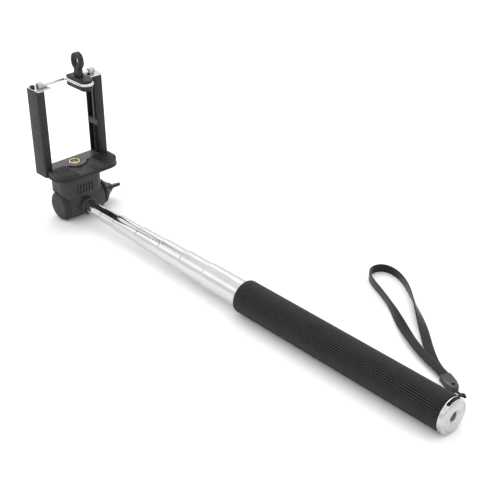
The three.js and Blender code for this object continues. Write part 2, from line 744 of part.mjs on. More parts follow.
function makeSpring(side, sideName) {
  const bottomZ = postFloorZ + gap + springWire;
  const topZ = shoeBottomZ - gap - springWire;
  const coil = new Coil(side * springX, springY, bottomZ, topZ);
  addPiece(`spring_${sideName}`, swept(ovalSection(springWire, springWire, 4), coil, 7 * springTurns), blackSteel);
}

// The webbing lies flat by the crimp and stands on its edge round the far bend.
class Strap extends THREE.CatmullRomCurve3 {
  computeFrenetFrames(segments) {
    const tangents = [];
    const normals = [];
    const binormals = [];
    for (let i = 0; i <= segments; i += 1) {
      const along = i / segments;
      const tangent = this.getTangentAt(along);
      const level = new THREE.Vector3(0, 0, 1).cross(tangent).normalize();
      const upright = new THREE.Vector3().crossVectors(tangent, level);
      const lean = strapLean(along);
      const normal = upright.multiplyScalar(Math.cos(lean)).addScaledVector(level, Math.sin(lean));
      tangents.push(tangent);
      normals.push(normal);
      binormals.push(new THREE.Vector3().crossVectors(tangent, normal));
    }
    return { tangents, normals, binormals };
  }
}

function strapLean(along) {
  const rise = THREE.MathUtils.smoothstep(along, ...leanRise);
  const fall = THREE.MathUtils.smoothstep(along, ...leanFall);
  return (rise - fall) * Math.PI / 2;
}

function pointsOf(route) {
  return route.map((point) => new THREE.Vector3(...point));
}

function makeStrap() {
  const string = new THREE.CatmullRomCurve3(pointsOf(stringRoute));
  addPiece('strap_string', swept(ovalSection(stringRadius, stringRadius, 8), string, 16), webbing);

  const along = new THREE.Vector2().subVectors(crimpEnd, crimpStart);
  const crimp = new THREE.Shape();
  crimp.moveTo(0, -crimpHalfWidth);
  crimp.lineTo(along.length() * crimpShoulder, -crimpHalfWidth);
  crimp.lineTo(along.length(), -crimpEndHalfWidth);
  crimp.lineTo(along.length(), crimpEndHalfWidth);
  crimp.lineTo(along.length() * crimpShoulder, crimpHalfWidth);
  crimp.lineTo(0, crimpHalfWidth);
  crimp.closePath();
  const eyelet = new THREE.Path();
  eyelet.absarc(along.length() - crimpEyeletInset, 0, crimpEyeletRadius, 0, 2 * Math.PI);
  crimp.holes.push(eyelet);
  const geometry = new THREE.ExtrudeGeometry(crimp, {
    depth: crimpTopZ - 2 * crimpEdge,
    bevelThickness: crimpEdge,
    bevelSize: crimpEdge,
    bevelOffset: -crimpEdge,
    bevelSegments: 1,
    curveSegments: 5,
  });
  geometry.translate(0, 0, crimpEdge).rotateZ(along.angle()).translate(crimpStart.x, crimpStart.y, 0);
  addPiece('strap_crimp', solid(geometry), blackPlastic);

  const section = new THREE.Shape();
  section.moveTo(-webbingThickness / 2, -webbingWidth / 2);
  section.lineTo(webbingThickness / 2, -webbingWidth / 2);
  section.lineTo(webbingThickness / 2, webbingWidth / 2);
  section.lineTo(-webbingThickness / 2, webbingWidth / 2);
  section.closePath();
  addPiece('strap_webbing', swept(section, new Strap(pointsOf(webbingRoute)), webbingSteps), webbing);
}

for (let number = 1; number <= tubeFronts.length; number += 1) makeTube(number);
makeGrip();
makeEndCap();
makeKnuckle();
makeHingeFasteners();
makeWingKnob();
makeTiltHead();
makeCameraStud();
makeTray();
makeBasePad();
for (const [side, sideName] of [[-1, 'left'], [1, 'right']]) {
  makePost(side, sideName);
  makeCapPlate(side, sideName);
  makeSlideLeg(side, sideName);
  makeSpring(side, sideName);
}
makeWireBow();
makeJaw();
makePullTab();
makeStrap();

export default selfieStick;
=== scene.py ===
"""A telescoping selfie stick with a phone holder and a wrist strap, in metres, +Z up."""

import json
import math

import bmesh
import bpy
from mathutils import Matrix, Vector


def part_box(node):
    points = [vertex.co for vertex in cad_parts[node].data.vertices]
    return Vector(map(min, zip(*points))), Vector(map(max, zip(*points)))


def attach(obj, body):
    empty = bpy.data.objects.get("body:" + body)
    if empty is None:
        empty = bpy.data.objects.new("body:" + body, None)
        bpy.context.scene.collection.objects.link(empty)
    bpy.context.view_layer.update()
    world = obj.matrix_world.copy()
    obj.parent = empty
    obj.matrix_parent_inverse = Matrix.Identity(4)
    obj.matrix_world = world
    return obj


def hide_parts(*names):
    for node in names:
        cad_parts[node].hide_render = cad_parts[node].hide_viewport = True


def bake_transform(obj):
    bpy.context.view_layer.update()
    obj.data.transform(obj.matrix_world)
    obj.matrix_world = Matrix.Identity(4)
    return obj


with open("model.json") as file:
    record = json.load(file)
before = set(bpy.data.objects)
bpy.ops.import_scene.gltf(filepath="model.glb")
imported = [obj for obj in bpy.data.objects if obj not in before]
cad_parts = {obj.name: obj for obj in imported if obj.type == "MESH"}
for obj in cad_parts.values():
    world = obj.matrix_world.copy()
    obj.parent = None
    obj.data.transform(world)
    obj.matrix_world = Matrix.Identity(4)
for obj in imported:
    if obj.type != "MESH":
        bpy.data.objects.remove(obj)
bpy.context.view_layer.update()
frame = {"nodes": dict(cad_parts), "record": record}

MM = 0.001
BODIES = frame["record"]["behaviour"]["bodies"]
BODY_OF = {node: body for body, nodes in BODIES.items() for node in nodes}

# The stick's axis, and the camera that looks across it from above the handle's left side.
AXIS_HEIGHT = 0.0125
STICK_AXIS = (0, 0, AXIS_HEIGHT)
CAMERA_AT = (-0.4157, -0.6518, 0.4068)
CAMERA_AZIMUTH = -43.22
CAMERA_ELEVATION = 30.28
CAMERA_LENS = 73.8

# Grey of the studio from the horizon up, which the bright metal mirrors, as (height, grey).
SKY = ((0.02, 0.85), (0.3, 0.8), (0.42, 1.25), (0.55, 1.3), (0.66, 0.85), (0.86, 1.1), (0.98, 1.15))
SKY_STRENGTH = 1.2
LIGHTS_AIM_AT = (0, -0.18, 0.02)
KEY_LIGHT = {"place": (0.5, 0.25, 1.2), "size": (0.9, 0.9), "power": 4}
LEFT_FILL = {"place": (-1.1, -0.5, 0.7), "size": (0.8, 0.8), "power": 1}
FLOOR_SIZE = 8
FLOOR_DROP = 0.2 * MM

# Pieces that meet keep this clearance.
GAP = 0.3 * MM

# The screws and springs in the posts, to each side of the holder's middle plane.
SCREW_X = 28.2 * MM
SCREW_Y = 5.4 * MM
SPRING_X = 26 * MM
SPRING_Y = 3.2 * MM

# The slot across each slider's clamp, which grips the wire bow.
CLAMP_BASE_Z = 117 * MM
WIRE_TOP_Z = 120.1 * MM

ROUND_STEPS = 128


# ---------------------------------------------------------------- camera, floor and light

def add_camera():
    data = bpy.data.cameras.new("camera")
    data.lens = CAMERA_LENS
    data.clip_start = 0.01
    camera = bpy.data.objects.new("camera", data)
    camera.location = CAMERA_AT
    tilt = math.radians(90 - CAMERA_ELEVATION)
    camera.rotation_euler = (tilt, 0, math.radians(CAMERA_AZIMUTH))
    bpy.context.collection.objects.link(camera)
    bpy.context.scene.camera = camera


def add_area_light(name, place, size, power):
    data = bpy.data.lights.new(name, "AREA")
    data.shape = "RECTANGLE"
    data.size, data.size_y = size
    data.energy = power
    light = bpy.data.objects.new(name, data)
    light.location = place
    aim = Vector(LIGHTS_AIM_AT) - Vector(place)
    light.rotation_euler = aim.to_track_quat("-Z", "Y").to_euler()
    bpy.context.collection.objects.link(light)


def add_studio():
    world = bpy.data.worlds.new("studio")
    world.use_nodes = True
    nodes, links = world.node_tree.nodes, world.node_tree.links
    background = nodes["Background"]
    split = nodes.new("ShaderNodeSeparateXYZ")
    links.new(nodes.new("ShaderNodeTexCoord").outputs["Generated"], split.inputs["Vector"])
    sky = nodes.new("ShaderNodeValToRGB")
    for place, grey in SKY:
        stop = sky.color_ramp.elements.new(place)
        stop.color = (grey, grey, grey, 1)
    sky.color_ramp.elements.remove(sky.color_ramp.elements[0])
    sky.color_ramp.elements.remove(sky.color_ramp.elements[-1])
    links.new(split.outputs["Z"], sky.inputs["Fac"])
    links.new(sky.outputs["Color"], background.inputs["Color"])
    background.inputs["Strength"].default_value = SKY_STRENGTH
    bpy.context.scene.world = world
    bpy.context.scene.view_settings.view_transform = "Standard"
    add_area_light("key", **KEY_LIGHT)
    add_area_light("left_fill", **LEFT_FILL)

    bpy.ops.mesh.primitive_plane_add(size=FLOOR_SIZE, location=(0, 0, -FLOOR_DROP))
    floor = bpy.context.object
    floor.name = "floor"
    floor.data.materials.append(plain_floor())


def plain_floor():
    material, _, _, surface = new_material("floor_white")
    surface.inputs["Base Color"].default_value = (0.93, 0.93, 0.93, 1)
    surface.inputs["Roughness"].default_value = 0.9
    surface.inputs["Specular IOR Level"].default_value = 0.1
    return material


# ---------------------------------------------------------------- materials

def new_material(name):
    material = bpy.data.materials.new(name)
    material.use_nodes = True
    nodes = material.node_tree.nodes
    return material, nodes, material.node_tree.links, nodes["Principled BSDF"]


def place_in_object(nodes, links, stretch=(1, 1, 1)):
    """Object coordinates in metres, scaled along each axis."""
    place = nodes.new("ShaderNodeTexCoord")
    mapping = nodes.new("ShaderNodeMapping")
    mapping.inputs["Scale"].default_value = stretch
    links.new(place.outputs["Object"], mapping.inputs["Vector"])
    return mapping.outputs["Vector"]


def noise(nodes, links, vector, scale, detail=4.0, roughness=0.5):
    texture = nodes.new("ShaderNodeTexNoise")
    texture.inputs["Scale"].default_value = scale
    texture.inputs["Detail"].default_value = detail
    texture.inputs["Roughness"].default_value = roughness
    links.new(vector, texture.inputs["Vector"])
    return texture.outputs["Fac"]


def spread(nodes, links, value, low, high, source_low=0.3, source_high=0.7):
    """Maps a texture's value to a range."""
    node = nodes.new("ShaderNodeMapRange")
    node.inputs["From Min"].default_value = source_low
    node.inputs["From Max"].default_value = source_high
    node.inputs["To Min"].default_value = low
    node.inputs["To Max"].default_value = high
    links.new(value, node.inputs["Value"])
    return node.outputs["Result"]


def two_tone(nodes, links, value, dark, light, start=0.35, end=0.65):
    ramp = nodes.new("ShaderNodeValToRGB")
    ramp.color_ramp.elements[0].position = start
    ramp.color_ramp.elements[0].color = (*dark, 1)
    ramp.color_ramp.elements[1].position = end
    ramp.color_ramp.elements[1].color = (*light, 1)
    links.new(value, ramp.inputs["Fac"])
    return ramp.outputs["Color"]


def bump(nodes, links, surface, height, depth, strength=1.0):
    node = nodes.new("ShaderNodeBump")
    node.inputs["Strength"].default_value = strength
    node.inputs["Distance"].default_value = depth
    links.new(height, node.inputs["Height"])
    links.new(node.outputs["Normal"], surface.inputs["Normal"])


def lighter_edges(nodes, links, colour, edge_highlight, start=0.53, end=0.62, amount=0.6):
    """Blends a lighter tone into the colour along convex edges: a painted highlight."""
    geometry = nodes.new("ShaderNodeNewGeometry")
    edge = spread(nodes, links, geometry.outputs["Pointiness"], 0.0, amount, start, end)
    mix = nodes.new("ShaderNodeMix")
    mix.data_type = "RGBA"
    mix.inputs["B"].default_value = (*edge_highlight, 1)
    links.new(edge, mix.inputs["Factor"])
    links.new(colour, mix.inputs["A"])
    return mix.outputs["Result"]


def moulded_plastic(name, dark, light, roughness, grain=1800, grain_depth=0.02 * MM):
    material, nodes, links, surface = new_material(name)
    vector = place_in_object(nodes, links)
    patches = noise(nodes, links, vector, 90)
    fine = noise(nodes, links, vector, grain, 3)
    tone = two_tone(nodes, links, patches, dark, light)
    # The convex edges get a lighter tone, a painted highlight along them.
    edge_highlight = tuple(min(1, c * 2.2 + 0.01) for c in light)
    links.new(lighter_edges(nodes, links, tone, edge_highlight), surface.inputs["Base Color"])
    rough = spread(nodes, links, noise(nodes, links, vector, 260), roughness - 0.07, roughness + 0.07)
    links.new(rough, surface.inputs["Roughness"])
    surface.inputs["Specular IOR Level"].default_value = 0.28
    bump(nodes, links, surface, fine, grain_depth, 0.7)
    return material


def soft_rubber(name, dark, light, roughness=0.75):
    material, nodes, links, surface = new_material(name)
    vector = place_in_object(nodes, links)
    patches = noise(nodes, links, vector, 140)
    links.new(two_tone(nodes, links, patches, dark, light), surface.inputs["Base Color"])
    rough = spread(nodes, links, noise(nodes, links, vector, 420), roughness - 0.1, roughness + 0.08)
    links.new(rough, surface.inputs["Roughness"])
    surface.inputs["Specular IOR Level"].default_value = 0.35
    bump(nodes, links, surface, noise(nodes, links, vector, 2600, 2), 0.02 * MM, 0.5)
    return material


def polished_metal(name, colour, roughness, along, mark_depth=0.004 * MM):
    """Plated metal with faint drawing marks, long in the direction of along."""
    material, nodes, links, surface = new_material(name)
    surface.inputs["Metallic"].default_value = 1
    vector = place_in_object(nodes, links, along)
    marks = noise(nodes, links, vector, 1400, 5)
    patches = noise(nodes, links, place_in_object(nodes, links), 60)
    darker = tuple(c * 0.93 for c in colour)
    links.new(two_tone(nodes, links, patches, darker, colour), surface.inputs["Base Color"])
    rough = spread(nodes, links, marks, roughness * 0.7, roughness * 1.5)
    links.new(rough, surface.inputs["Roughness"])
    bump(nodes, links, surface, marks, mark_depth, 0.25)
    return material


def turned_metal(name, colour, roughness, axis):
    """Plated metal with the fine rings that a lathe leaves round the axis."""
    material, nodes, links, surface = new_material(name)
    surface.inputs["Metallic"].default_value = 1
    offset = (0, 0, -AXIS_HEIGHT) if axis == "Y" else (0, 0, 0)
    flatten = (1, 0, 1) if axis == "Y" else (1, 1, 0)
    place = nodes.new("ShaderNodeTexCoord")
    mapping = nodes.new("ShaderNodeMapping")
    mapping.inputs["Location"].default_value = offset
    mapping.inputs["Scale"].default_value = flatten
    links.new(place.outputs["Object"], mapping.inputs["Vector"])
    distance = nodes.new("ShaderNodeVectorMath")
    distance.operation = "LENGTH"
    links.new(mapping.outputs["Vector"], distance.inputs[0])
    rings = nodes.new("ShaderNodeTexNoise")
    rings.noise_dimensions = "1D"
    rings.inputs["Scale"].default_value = 5200
    links.new(distance.outputs["Value"], rings.inputs["W"])
    patches = noise(nodes, links, place_in_object(nodes, links), 160)
    darker = tuple(c * 0.88 for c in colour)
    links.new(two_tone(nodes, links, patches, darker, colour), surface.inputs["Base Color"])
    rough = spread(nodes, links, rings.outputs["Fac"], roughness * 0.7, roughness * 1.4)
    links.new(rough, surface.inputs["Roughness"])
    bump(nodes, links, surface, rings.outputs["Fac"], 0.01 * MM, 0.35)
    return material


def woven_nylon(name, rib=0.7 * MM):
    """Flat webbing: short diagonal ribs across its width, from the strap's own length and width."""
    material, nodes, links, surface = new_material(name)
    uv = nodes.new("ShaderNodeTexCoord").outputs["UV"]
    split = nodes.new("ShaderNodeSeparateXYZ")
    links.new(uv, split.inputs["Vector"])
    across = wave_of(nodes, links, split.outputs["Y"], 9)
    slope = nodes.new("ShaderNodeMath")
    slope.operation = "MULTIPLY_ADD"
    slope.inputs[1].default_value = 1 / rib
    links.new(split.outputs["X"], slope.inputs[0])
    links.new(across, slope.inputs[2])
    ribs = wave_of(nodes, links, slope.outputs["Value"], 1)
    height = nodes.new("ShaderNodeMath")
    height.operation = "MULTIPLY"
    links.new(ribs, height.inputs[0])
    links.new(across, height.inputs[1])
    fuzz = noise(nodes, links, place_in_object(nodes, links), 3500, 3)
    # The colour follows the weave's height, dark in its hollows and lighter where it rises: painted
    # shade in the hollows and a painted highlight on the raised parts.
    dark, light = (0.012, 0.012, 0.013), (0.055, 0.055, 0.058)
    tone = two_tone(nodes, links, height.outputs["Value"], dark, light, 0.0, 0.8)
    mix = nodes.new("ShaderNodeMix")
    mix.data_type = "RGBA"
    mix.blend_type = "MULTIPLY"
    mix.inputs["Factor"].default_value = 0.5
    links.new(tone, mix.inputs["A"])
    links.new(two_tone(nodes, links, fuzz, (0.6, 0.6, 0.6), (1, 1, 1)), mix.inputs["B"])
    links.new(mix.outputs["Result"], surface.inputs["Base Color"])
    links.new(spread(nodes, links, fuzz, 0.7, 0.95), surface.inputs["Roughness"])
    surface.inputs["Sheen Weight"].default_value = 0.35
    surface.inputs["Sheen Roughness"].default_value = 0.4
    surface.inputs["Specular IOR Level"].default_value = 0.25
    bump(nodes, links, surface, height.outputs["Value"], 0.12 * MM, 0.8)
    return material


def wave_of(nodes, links, value, turns):
    """Goes from 0 to 1 and back, turns times for each unit of value."""
    node = nodes.new("ShaderNodeMath")
    node.operation = "PINGPONG"
    scaled = nodes.new("ShaderNodeMath")
    scaled.operation = "MULTIPLY"
    scaled.inputs[1].default_value = 2 * turns
    links.new(value, scaled.inputs[0])
    links.new(scaled.outputs["Value"], node.inputs[0])
    node.inputs[1].default_value = 1
    return node.outputs["Value"]


# ---------------------------------------------------------------- mesh tools

def mesh_piece(name, points, faces, sharp_angle=32):
    mesh = bpy.data.meshes.new(name)
    mesh.from_pydata([tuple(p) for p in points], [], faces)
    work = bmesh.new()
    work.from_mesh(mesh)
    bmesh.ops.remove_doubles(work, verts=work.verts, dist=1e-7)
    bmesh.ops.recalc_face_normals(work, faces=work.faces)
    work.to_mesh(mesh)
    work.free()
    mesh.shade_smooth()
    mesh.set_sharp_from_angle(angle=math.radians(sharp_angle))
    piece = bpy.data.objects.new(name, mesh)
    bpy.context.collection.objects.link(piece)
    return piece


def band_faces(rows, count, closed=False):
    """Faces between rings of count points each. closed joins the last ring to the first."""
    faces = []
    for row in range(rows if closed else rows - 1):
        after = (row + 1) % rows
        for i in range(count):
            j = (i + 1) % count
            faces.append((row * count + i, row * count + j, after * count + j, after * count + i))
    return faces


def turned(name, profile, axis, centre, steps=ROUND_STEPS):
    """Turns (radius, along) pairs round an axis through centre. The profile closes on itself."""
    points = []
    for step in range(steps):
        angle = 2 * math.pi * step / steps
        for radius, along in profile:
            a, b = radius * math.cos(angle), radius * math.sin(angle)
            at = {"X": (along, a, b), "Y": (b, along, a), "Z": (a, b, along)}[axis]
            points.append(Vector(at) + Vector(centre))
    count = len(profile)
    on_axis = [radius == 0 for radius, _ in profile]
    faces = [face for face in band_faces(steps, count, closed=True)
             if not (on_axis[face[0] % count] and on_axis[face[1] % count])]
    return mesh_piece(name, points, faces)


def filleted(corners, steps=8):
    """An outline from (x, y, radius) corners, each rounded to its radius."""
    points = []
    for i, (x, y, radius) in enumerate(corners):
        corner = Vector((x, y))
        if radius == 0:
            points.append(corner)
            continue
        back = (Vector(corners[i - 1][:2]) - corner).normalized()
        ahead = (Vector(corners[(i + 1) % len(corners)][:2]) - corner).normalized()
        half = back.angle(ahead) / 2
        centre = corner + (back + ahead).normalized() * (radius / math.sin(half))
        start = corner + back * (radius / math.tan(half)) - centre
        turn = start.angle_signed(corner + ahead * (radius / math.tan(half)) - centre)
        for step in range(steps + 1):
            points.append(centre + Matrix.Rotation(-turn * step / steps, 2) @ start)
    return points


def rectangle(x0, x1, y0, y1, radius):
    return filleted([(x0, y0, radius), (x1, y0, radius), (x1, y1, radius), (x0, y1, radius)])


def slab(name, outline, low, high, place=lambda x, y, h: (x, y, h)):
    """Raises a flat outline from low to high. place turns outline x, y and height into a point."""
    count = len(outline)
    points = [place(p[0], p[1], low) for p in outline] + [place(p[0], p[1], high) for p in outline]
    faces = [tuple(range(count)), tuple(range(count, 2 * count))]
    faces += [(i, (i + 1) % count, (i + 1) % count + count, i + count) for i in range(count)]
    return mesh_piece(name, points, faces)


def block(x0, x1, y0, y1, z0, z1):
    outline = [Vector((x0, y0)), Vector((x1, y0)), Vector((x1, y1)), Vector((x0, y1))]
    return slab("cutter", outline, z0, z1)


def rod(radius, low, high, axis, centre=(0, 0, 0), steps=ROUND_STEPS):
    """A plain cylinder about an axis, from low to high along it."""
    profile = [(0, low), (radius, low), (radius, high), (0, high)]
    return turned("rod", profile, axis, centre, steps)


def side_block(side, inner, outer, y0, y1, z0, z1):
    """A block between two distances from the middle plane, on the left (-1) or right (1)."""
    return block(*sorted((side * inner, side * outer)), y0, y1, z0, z1)


def combine(piece, other, operation):
    """Joins other to piece or cuts it away, and removes other."""
    modifier = piece.modifiers.new("combine", "BOOLEAN")
    modifier.operation = operation
    modifier.solver = "EXACT"
    modifier.object = other
    bpy.context.view_layer.update()
    shape = bpy.data.meshes.new_from_object(piece.evaluated_get(bpy.context.evaluated_depsgraph_get()))
    piece.modifiers.remove(modifier)
    piece.data = shape
    bpy.data.objects.remove(other)
    shape.shade_smooth()
    shape.set_sharp_from_angle(angle=math.radians(32))


def cut(piece, *others):
    for other in others:
        combine(piece, other, "DIFFERENCE")


def join(piece, *others):
    for other in others:
        combine(piece, other, "UNION")


def soften(piece, width, segments=3, angle=35):
    bevel = piece.modifiers.new("soft_edges", "BEVEL")
    bevel.width = width
    bevel.segments = segments
    bevel.limit_method = "ANGLE"
    bevel.angle_limit = math.radians(angle)
    bevel.harden_normals = True


def dress(piece, material, node):
    """Gives the piece its material, and lets it stand for a CAD node and move as it does."""
    piece.data.materials.clear()
    piece.data.materials.append(material)
    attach(piece, BODY_OF[node])
    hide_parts(node)


def darken_bore(piece, material, axis, height, radius):
    """Gives the threads inside a bore a darker, brownish metal: painted shade inside the bore."""
    piece.data.materials.append(material)
    for face in piece.data.polygons:
        x, y, z = face.center
        reach = math.hypot(x, z - height) if axis == "Y" else math.hypot(x, y)
        along = face.normal.y if axis == "Y" else face.normal.z
        face.material_index = int(reach < radius and abs(along) < 0.98)


def repaint(node, material):
    for item in frame["nodes"][node].material_slots:
        item.material = material


def curve_points(route, per_span=8):
    """A smooth line through the route's points."""
    ends = [2 * route[0] - route[1]] + route + [2 * route[-1] - route[-2]]
    line = []
    for i in range(1, len(ends) - 2):
        a, b, c, d = ends[i - 1], ends[i], ends[i + 1], ends[i + 2]
        for step in range(per_span):
            t = step / per_span
            line.append(0.5 * (2 * b + (c - a) * t + (2 * a - 5 * b + 4 * c - d) * t * t
                               + (3 * b - a - 3 * c + d) * t ** 3))
    line.append(route[-1])
    return line


def distances(line):
    """How far along the line each of its points is."""
    travelled = [0]
    for a, b in zip(line, line[1:]):
        travelled.append(travelled[-1] + (b - a).length)
    return travelled


def heading(line, i):
    """The direction of the line at its point i."""
    return (line[min(i + 1, len(line) - 1)] - line[max(i - 1, 0)]).normalized()


def circle(radius, steps):
    angles = [2 * math.pi * k / steps for k in range(steps)]
    return [(radius * math.cos(a), radius * math.sin(a)) for a in angles]


# ---------------------------------------------------------------- wrist strap

STRING_DIAMETER = 1.8 * MM
WEBBING_WIDTH = 6.8 * MM
WEBBING_THICKNESS = 1.2 * MM

# The string leaves the slot in the end cap here.
SLOT_Y = -385.4 * MM

STRING_ROUTE = [Vector(p) * MM for p in (
    (-2, -385.4, 22), (1.2, -385.4, 22.8), (4.4, -385.4, 24.2), (7.4, -385.4, 24.4),
    (10.2, -385.2, 22.9), (12.6, -384.7, 19.9), (14.8, -383.5, 17.6), (17, -381.8, 15.6),
    (19.3, -379.8, 13.5), (21.8, -377.6, 11.1), (24.5, -375.2, 8.5), (27.3, -372.6, 6),
    (29.8, -370, 4), (31.6, -367.6, 2.7), (32.9, -365.4, 2.2),
)]
WEBBING_ROUTE = [Vector(p) * MM for p in (
    (40.2, -350.5, 2.9), (41.7, -346, 3), (43.5, -339.6, 3.1), (45.8, -332, 3.2),
    (48.6, -324, 3.4), (53.2, -314.2, 3.4), (59.2, -303, 3.4), (66.2, -291.2, 3.4),
    (73.6, -279.6, 3.4), (80.4, -267.8, 3.5), (85.8, -256.8, 3.6), (90.2, -247, 3.6),
    (95, -239, 3.6), (101.2, -234.4, 3.6), (107.6, -234.2, 3.6), (112.4, -238, 3.6),
    (113.8, -245, 3.6), (111.8, -254, 3.6), (106.4, -264.4, 3.6), (98.6, -275.4, 3.5),
    (89.6, -287, 3.3), (80.2, -298.4, 2.8), (70.6, -309.6, 2.1), (61.4, -319.8, 1.5),
    (53.8, -328.8, 1.2), (48.4, -336, 1.2), (44.6, -342.4, 1.3), (41.2, -349.2, 1.4),
    (40.5, -350.6, 1.4),
)]

# The shares of the webbing's length over which it rises on its edge and lies down again.
LEAN_RISE = (0.14, 0.34)
LEAN_FALL = (0.62, 0.86)


def smooth_step(value, start, end):
    share = min(1, max(0, (value - start) / (end - start)))
    return share * share * (3 - 2 * share)


def strap_lean(along):
    """The webbing lies flat by the crimp and stands on its edge round the far bend."""
    return (smooth_step(along, *LEAN_RISE) - smooth_step(along, *LEAN_FALL)) * math.pi / 2


def swept(name, line, section, lean=lambda along: 0):
    """Sweeps a section of (across, up) pairs along a line, leaning it as it goes. Ends are closed."""
    travelled = distances(line)
    points = []
    uvs = []
    for i, at in enumerate(line):
        tangent = heading(line, i)
        level = Vector((0, 0, 1)).cross(tangent).normalized()
        upright = tangent.cross(level)
        angle = lean(travelled[i] / travelled[-1])
        normal = upright * math.cos(angle) + level * math.sin(angle)
        side = tangent.cross(normal)
        for across, up in section:
            points.append(at + side * across + normal * up)
            uvs.append((travelled[i], across))
    count = len(section)
    faces = [tuple(range(count)), tuple(range(len(points) - count, len(points)))]
    faces += band_faces(len(line), count)
    mesh = bpy.data.meshes.new(name)
    mesh.from_pydata([tuple(p) for p in points], [], faces)
    layer = mesh.uv_layers.new(name="along_strap")
    for loop in mesh.loops:
        layer.data[loop.index].uv = uvs[loop.vertex_index]
    mesh.validate()
    work = bmesh.new()
    work.from_mesh(mesh)
    bmesh.ops.recalc_face_normals(work, faces=work.faces)
    work.to_mesh(mesh)
    work.free()
    mesh.shade_smooth()
    mesh.set_sharp_from_angle(angle=math.radians(50))
    piece = bpy.data.objects.new(name, mesh)
    bpy.context.collection.objects.link(piece)
    return piece


def flat_section(width, thickness, edge_steps=6, flat_steps=6, ridge=0.12):
    """A flat band with rounded selvedges and shallow ridges along its faces."""
    radius = thickness / 2
    half_flat = width / 2 - radius
    section = []
    for side in (1, -1):
        for step in range(edge_steps + 1):
            angle = math.pi / 2 - math.pi * step / edge_steps
            across = half_flat + radius * math.cos(angle)
            section.append((side * across, side * radius * math.sin(angle)))
        for step in range(1, flat_steps):
            across = half_flat * (1 - 2 * step / flat_steps)
            section.append((side * across, -side * radius * (1 - ridge * (step % 2))))
    return section


def make_strap_webbing(material):
    line = curve_points(WEBBING_ROUTE, 10)
    section = flat_section(WEBBING_WIDTH, WEBBING_THICKNESS)
    loop = swept("strap_loop", line, section, strap_lean)
    dress(loop, material, "strap_webbing")


def make_strap_string(material):
    """Two plies twisted round each other, from the slot in the end cap to the crimp."""
    line = curve_points(STRING_ROUTE, 10)
    travelled = distances(line)
    ply = STRING_DIAMETER / 4
    twist = 2 * math.pi / (4.5 * MM)
    plies = []
    for phase in (0, math.pi):
        strand = []
        for i, at in enumerate(line):
            tangent = heading(line, i)
            level = Vector((0, -1, 0)).cross(tangent).normalized()
            upright = tangent.cross(level)
            angle = phase + twist * travelled[i]
            strand.append(at + (level * math.cos(angle) + upright * math.sin(angle)) * ply)
        plies.append(swept("ply", strand, circle(ply, 10)))
    cord = plies[0]
    with bpy.context.temp_override(active_object=cord, selected_editable_objects=plies):
        bpy.ops.object.join()
    cord.name = "strap_cord"
    dress(cord, material, "strap_string")


def make_strap_crimp(material):
    """A moulded clasp, tapered towards the string, with an eyelet through its narrow end."""
    (_, _, low), (_, _, high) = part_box("strap_crimp")
    start = Vector((39.5, -351)) * MM
    end = Vector((33.3, -364.6)) * MM
    half_wide, half_narrow = 3.9 * MM, 2.4 * MM
    eyelet_radius = 1.2 * MM
    along = (end - start).normalized()
    across = Vector((-along.y, along.x))
    size = (end - start).length

    def place(x, y, height):
        at = start + along * x + across * y
        return (at.x, at.y, height)

    taper_x = size * 0.6
    outline = filleted([
        (0, -half_wide, 0.8 * MM), (taper_x, -half_wide, 2 * MM), (size, -half_narrow, 1.4 * MM),
        (size, half_narrow, 1.4 * MM), (taper_x, half_wide, 2 * MM), (0, half_wide, 0.8 * MM),
    ])
    clasp = slab("strap_clasp", outline, low, high, place)
    eyelet = start + along * (size - 3.6 * MM)
    cut(clasp, rod(eyelet_radius, low - MM, high + MM, "Z", (eyelet.x, eyelet.y, 0), 32))
    soften(clasp, 0.8 * MM, 4)
    dress(clasp, material, "strap_crimp")
    return clasp


# ---------------------------------------------------------------- handle and tubes

def make_grip(material):
    """A rubber sleeve with fine rounded ribs along it."""
    (_, rear, _), (_, front, _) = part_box("grip_sleeve")
    crest = AXIS_HEIGHT
    bore = 10.7 * MM
    ribs = 46
    rib_depth = 0.7 * MM
    rib_sharpness = 1.6
    samples_per_rib = 8
    edge = 0.9 * MM
    lengths = 24

    # Each ring is a place along the stick, a radius, and whether it carries the ribs.
    rings = [
        (rear, bore, False), (rear, crest - 1.2 * MM, True),
        (rear + edge * 0.3, crest - 0.45 * MM, True), (rear + edge, crest, True),
    ]
    for i in range(1, lengths + 1):
        rings.append((rear + edge + (front - rear - 2 * edge) * i / lengths, crest, True))
    rings += [
        (front - edge * 0.3, crest - 0.3 * MM, True), (front, crest - 0.9 * MM, True),
        (front, bore, False),
    ]
    count = ribs * samples_per_rib
    points = []
    for y, radius, ribbed in rings:
        for i in range(count):
            angle = 2 * math.pi * i / count
            valley = (0.5 - 0.5 * math.cos(ribs * (angle + math.pi / 2))) ** rib_sharpness
            r = radius - rib_depth * valley if ribbed else radius
            points.append((r * math.cos(angle), y, AXIS_HEIGHT + r * math.sin(angle)))
    faces = band_faces(len(rings), count, closed=True)
    dress(mesh_piece("ribbed_grip", points, faces, 60), material, "grip_sleeve")


